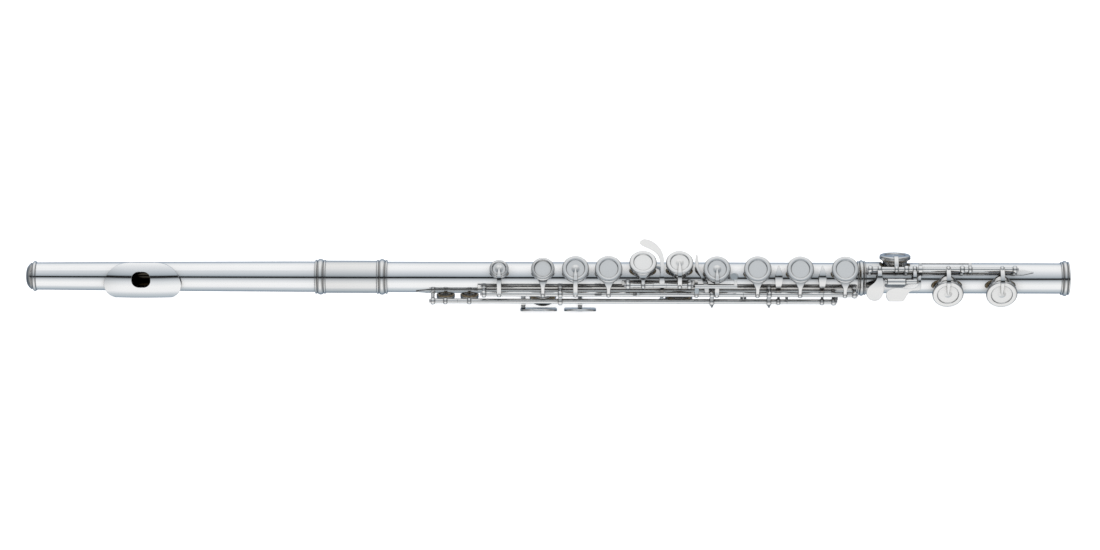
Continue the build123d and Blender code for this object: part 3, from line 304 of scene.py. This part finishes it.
def turned_brass():
    """Brass with the lathe's fine rings round its axis."""
    material, tree, shader = new_material("turned_brass", {"Metallic": 1.0})
    coords = node(tree, "ShaderNodeTexCoord")
    rings = noise(tree, coords, scale=1200.0, detail=3.0, stretch=(1.0, 0.05, 0.05))
    tone = ramp(tree, rings.outputs["Fac"],
                [(0.3, (0.55, 0.38, 0.14)), (0.7, (0.80, 0.62, 0.28))])
    rough = map_range(tree, rings.outputs["Fac"], 0.2, 0.38)
    paint(tree, shader, tone.outputs["Color"], rough)
    bump(tree, shader, rings.outputs["Fac"], 0.2, 0.03 * MM)
    return material


# the fifth value of each silver is the strength of its painted corner shade
MATERIALS = {
    "tube": polished_silver("silver_tube", SILVER, 0.07, (0.03, 1.0, 1.0), 0.7, bore=True),
    "keys": polished_silver("silver_keys", SHADED_KEY_SILVER, 0.10, (1.0, 1.0, 1.0), 0.9),
    "fittings": polished_silver("silver_fittings", SHADED_KEY_SILVER, 0.10, (1.0, 0.15, 0.15), 0.9),
    "hinge_steel": drawn_steel("hinge_steel", HINGE_STEEL, 0.2),
    "spring_steel": drawn_steel("spring_steel", SPRING_STEEL, 0.28),
    "pad": pad_skin(),
    "cork": grain_cork(),
    "brass": turned_brass(),
}
SLOT_OF = {part["node"]: part["material_slot"] for part in RECORD["subparts"]}


def finish_of(name):
    """The material of a CAD node: its record's slot, and for silver plate its kind of part."""
    slot = SLOT_OF[name]
    if slot != "silver_plate":
        return MATERIALS[slot]
    if name in TUBE_FINISH:
        return MATERIALS["tube"]
    return MATERIALS["keys" if name.endswith(KEY_ENDINGS) else "fittings"]


def dress_cad_nodes():
    for name, obj in NODES.items():
        obj.data.materials.clear()
        obj.data.materials.append(finish_of(name))
        for polygon in obj.data.polygons:
            polygon.use_smooth = True
        smooth = obj.modifiers.new("crisp_edges", "EDGE_SPLIT")
        smooth.split_angle = math.radians(CREASE_ANGLE)


# ------------------------------------------------------------------ mesh helpers
def islands(obj):
    """The points of each separate solid in a CAD node."""
    mesh = bmesh.new()
    mesh.from_mesh(obj.data)
    bmesh.ops.remove_doubles(mesh, verts=mesh.verts, dist=0.001 * MM)
    seen, found = set(), []
    for start in mesh.verts:
        if start in seen:
            continue
        seen.add(start)
        queue, group = [start], [start.co.copy()]
        while queue:
            for edge in queue.pop().link_edges:
                for vert in edge.verts:
                    if vert not in seen:
                        seen.add(vert)
                        queue.append(vert)
                        group.append(vert.co.copy())
        found.append(group)
    mesh.free()
    return found


def add_object(name, mesh, material, smooth=False):
    """An object in the scene, made from a finished mesh."""
    data = bpy.data.meshes.new(name)
    mesh.to_mesh(data)
    mesh.free()
    data.materials.append(material)
    for polygon in data.polygons:
        polygon.use_smooth = smooth
    obj = bpy.data.objects.new(name, data)
    bpy.context.scene.collection.objects.link(obj)
    return obj


# ------------------------------------------------------------------ pads: skin drawn over felt
def thin_direction(spread):
    """The direction in which a disc's points spread least; it lies square to the tube."""
    best, least = None, None
    for step in range(AXIS_STEPS):
        angle = math.pi * step / AXIS_STEPS
        direction = Vector((0.0, math.sin(angle), math.cos(angle)))
        size = direction.dot(spread @ direction)
        if least is None or size < least:
            best, least = direction, size
    return best


def pad_frame(points):
    """Centre, axis, radius and thickness of a flat disc, from its own points."""
    centre = sum(points, Vector()) / len(points)
    spread = Matrix(((0.0,) * 3,) * 3)
    for point in points:
        arm = point - centre
        for row in range(3):
            for column in range(3):
                spread[row][column] += arm[row] * arm[column]
    axis = thin_direction(spread)
    if axis.y * centre.y + axis.z * centre.z < 0:
        axis.negate()
    heights = [(point - centre).dot(axis) for point in points]
    low, high = min(heights), max(heights)
    radius = max(((point - centre) - axis * (point - centre).dot(axis)).length
                 for point in points)
    return centre + axis * (low + high) / 2, axis, radius, high - low


def pad_profile(radius, half):
    """Reach and height of a pad's outline, from the middle of its back round to its face."""
    press = radius * PAD_PRESS
    back = [(radius * 0.3, half), (radius - PAD_ROLL, half)]
    edge = [(radius - 0.12 * MM, half - 0.15 * MM), (radius, half - PAD_ROLL),
            (radius, -half + PAD_ROLL * 1.4), (radius - 0.10 * MM, -half + PAD_ROLL * 0.7),
            (radius - 0.3 * MM, -half + 0.2 * MM), (radius - PAD_ROLL * 1.5, -half + 0.05 * MM)]
    ring = [(press + 0.55 * MM, -half + 0.02 * MM), (press + 0.2 * MM, -half + 0.12 * MM),
            (press - 0.2 * MM, -half + 0.12 * MM), (press - 0.55 * MM, -half + 0.03 * MM)]
    face = [(radius * 0.45, -half + 0.01 * MM), (radius * 0.15, -half + 0.01 * MM)]
    return back + edge + ring + face


def pad_disc(mesh, centre, axis, radius, thickness):
    """One pad: flat back, rolled and puckered edge, face with the ring pressed in by the rim."""
    side = Vector((1.0, 0.0, 0.0))
    across = axis.cross(side)
    half = thickness / 2
    loops = []
    for reach, height in pad_profile(radius, half):
        on_edge = abs(height) < half * 0.7
        loop = []
        for index in range(PAD_TURNS):
            angle = 2 * math.pi * index / PAD_TURNS
            depth = PUCKER_DEPTH * math.sin(PAD_PUCKERS * angle)
            pucker = 1.0 + depth * (1.0 if on_edge else 0.0)
            spoke = side * math.cos(angle) + across * math.sin(angle)
            loop.append(mesh.verts.new(centre + axis * height + spoke * reach * pucker))
        loops.append(loop)
    for upper, lower in zip(loops, loops[1:]):
        for index in range(PAD_TURNS):
            after = (index + 1) % PAD_TURNS
            mesh.faces.new((upper[index], lower[index], lower[after], upper[after]))
    mesh.faces.new(loops[0])
    mesh.faces.new(list(reversed(loops[-1])))


def make_pads(name):
    """The visual pads that take the place of a node's plain CAD discs."""
    mesh = bmesh.new()
    for points in islands(NODES[name]):
        pad_disc(mesh, *pad_frame(points))
    bmesh.ops.recalc_face_normals(mesh, faces=mesh.faces)
    obj = add_object(name + "_skin", mesh, MATERIALS["pad"], smooth=True)
    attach(obj, NODES[name]["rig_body"])
    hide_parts(name)


# ------------------------------------------------------------------ screw heads on the hinge steels
def prism(mesh, outline, centre, outward, heights, shrink):
    """A closed solid over an outline in the YZ plane, its top loop drawn in to break the edge."""
    middle = sum((Vector(point) for point in outline), Vector((0.0, 0.0))) / len(outline)
    loops = []
    for height, scale in zip(heights, (1.0, 1.0, shrink)):
        loop = []
        for point in outline:
            flat = middle + (Vector(point) - middle) * scale
            loop.append(mesh.verts.new(centre + Vector((outward * height, flat.x, flat.y))))
        loops.append(loop)
    count = len(outline)
    for lower, upper in zip(loops, loops[1:]):
        for index in range(count):
            after = (index + 1) % count
            mesh.faces.new((lower[index], lower[after], upper[after], upper[index]))
    mesh.faces.new(list(reversed(loops[0])))
    mesh.faces.new(loops[-1])


def screw_head(mesh, centre, outward, radius):
    """A round disc with two raised halves that leave a screwdriver slot between them."""
    disc = []
    for step in range(HEAD_TURNS):
        angle = 2 * math.pi * step / HEAD_TURNS
        disc.append((radius * math.cos(angle), radius * math.sin(angle)))
    prism(mesh, disc, centre, outward, (0.0, SLOT_FLOOR * 0.8, SLOT_FLOOR), 0.97)
    start = math.asin(SLOT_WIDTH / 2 / radius)
    for side in (1.0, -1.0):
        half = []
        for step in range(HALF_TURNS + 1):
            angle = start + (math.pi - 2 * start) * step / HALF_TURNS
            half.append((radius * math.cos(angle), side * radius * math.sin(angle)))
        prism(mesh, half, centre, outward, (SLOT_FLOOR, HEAD_HEIGHT * 0.75, HEAD_HEIGHT), 0.84)


def make_screw_heads(name):
    """A slotted head on both ends of each steel in a node."""
    mesh = bmesh.new()
    for points in islands(NODES[name]):
        low, high = min(point.x for point in points), max(point.x for point in points)
        middle = sum(points, Vector()) / len(points)
        steel = max(math.hypot(point.y - middle.y, point.z - middle.z) for point in points)
        for x, outward in ((low, -1.0), (high, 1.0)):
            screw_head(mesh, Vector((x, middle.y, middle.z)), outward, steel + HEAD_PROUD)
    bmesh.ops.recalc_face_normals(mesh, faces=mesh.faces)
    obj = add_object(name + "_screw_heads", mesh, MATERIALS["hinge_steel"])
    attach(obj, NODES[name]["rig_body"])


# ------------------------------------------------------------------ paper, tent, lights, camera
def make_floor():
    """White paper that fades outside its lit middle, hidden from mirror reflections."""
    mesh = bmesh.new()
    bmesh.ops.create_grid(mesh, x_segments=1, y_segments=1, size=FLOOR_SIZE)
    material, tree, shader = new_material(
        "pale_floor", {"Roughness": 0.9, "Emission Strength": FLOOR_GLOW})
    coords = node(tree, "ShaderNodeTexCoord")
    reach = node(tree, "ShaderNodeVectorMath", operation="LENGTH")
    tree.links.new(coords.outputs["Object"], reach.inputs[0])
    fade = node(tree, "ShaderNodeMapRange",
                {"From Min": FLOOR_WHITE, "From Max": FLOOR_WHITE * 2},
                interpolation_type="SMOOTHSTEP")
    tree.links.new(reach.outputs["Value"], fade.inputs["Value"])
    tone = ramp(tree, fade.outputs["Result"], list(zip((0.0, 1.0), FLOOR_TONES)))
    tree.links.new(tone.outputs["Color"], shader.inputs["Base Color"])
    tree.links.new(tone.outputs["Color"], shader.inputs["Emission Color"])
    floor = add_object("floor", mesh, material)
    floor.location = (CENTRE.x, 0.0, BOX_LOW.z - FLOOR_DROP)
    floor.visible_glossy = False


def make_tent():
    """What the metal reflects: tones by the angle round the tube, darker towards both ends."""
    world = bpy.data.worlds.new("studio")
    world.use_nodes = True
    tree = world.node_tree
    background = tree.nodes["Background"]
    set_inputs(background, {"Strength": 1.0})
    coords = node(tree, "ShaderNodeTexCoord")
    parts = node(tree, "ShaderNodeSeparateXYZ")
    toward_player = node(tree, "ShaderNodeMath", {1: -1.0}, operation="MULTIPLY")
    around = node(tree, "ShaderNodeMath", operation="ARCTAN2")
    turn = node(tree, "ShaderNodeMapRange", {"From Min": -math.pi, "From Max": math.pi})
    tent = ramp(tree, turn.outputs["Result"],
                [((angle + 180) / 360, tone) for angle, tone in TENT_TONES])
    along = node(tree, "ShaderNodeMath", operation="ABSOLUTE")
    near, far = SIDE_FADE
    ends = node(tree, "ShaderNodeMapRange",
                {"From Min": near, "From Max": far, "To Min": 1.0, "To Max": SIDE_WALL},
                interpolation_type="SMOOTHSTEP")
    shaded = node(tree, "ShaderNodeVectorMath", operation="SCALE")
    tree.links.new(coords.outputs["Generated"], parts.inputs["Vector"])
    tree.links.new(parts.outputs["Y"], toward_player.inputs[0])
    tree.links.new(toward_player.outputs["Value"], around.inputs[0])
    tree.links.new(parts.outputs["Z"], around.inputs[1])
    tree.links.new(around.outputs["Value"], turn.inputs["Value"])
    tree.links.new(parts.outputs["X"], along.inputs[0])
    tree.links.new(along.outputs["Value"], ends.inputs["Value"])
    tree.links.new(tent.outputs["Color"], shaded.inputs[0])
    tree.links.new(ends.outputs["Result"], shaded.inputs["Scale"])
    tree.links.new(shaded.outputs["Vector"], background.inputs["Color"])
    bpy.context.scene.world = world


def make_lights():
    """Softboxes that light the floor and the matt parts; mirror reflections don't show them."""
    for name, (y, z), size, power in SOFTBOXES:
        light = bpy.data.lights.new(name, "AREA")
        light.shape = "RECTANGLE"
        light.size, light.size_y = size
        light.energy = power
        place = Vector((CENTRE.x, y, z))
        obj = bpy.data.objects.new(name, light)
        obj.location = place
        obj.rotation_euler = (CENTRE - place).to_track_quat("-Z", "Y").to_euler()
        obj.visible_glossy = False
        bpy.context.scene.collection.objects.link(obj)


def make_camera():
    lens_data = bpy.data.cameras.new("view")
    camera = bpy.data.objects.new("view", lens_data)
    elevation = math.radians(VIEW_ELEVATION)
    direction = Vector((0.0, -math.cos(elevation), math.sin(elevation)))
    camera.location = CENTRE + Vector(VIEW_OFFSET) + direction * VIEW_DISTANCE
    turn = (-direction).to_track_quat("-Z", "Y").to_matrix()
    roll = Matrix.Rotation(math.radians(VIEW_ROLL), 3, "Z")
    camera.rotation_euler = (turn @ roll).to_euler()
    lens_data.sensor_width = SENSOR_WIDTH
    lens_data.lens = SENSOR_WIDTH * VIEW_DISTANCE / FRAME_WIDTH
    bpy.context.scene.collection.objects.link(camera)
    bpy.context.scene.camera = camera


# ------------------------------------------------------------------ the scene
dress_cad_nodes()
for pad_name in sorted(name for name, slot in SLOT_OF.items() if slot == "pad"):
    make_pads(pad_name)
for steel_name in HEADED_STEELS:
    make_screw_heads(steel_name)
make_floor()
make_tent()
make_lights()
make_camera()
bpy.context.scene.view_settings.view_transform = "Standard"
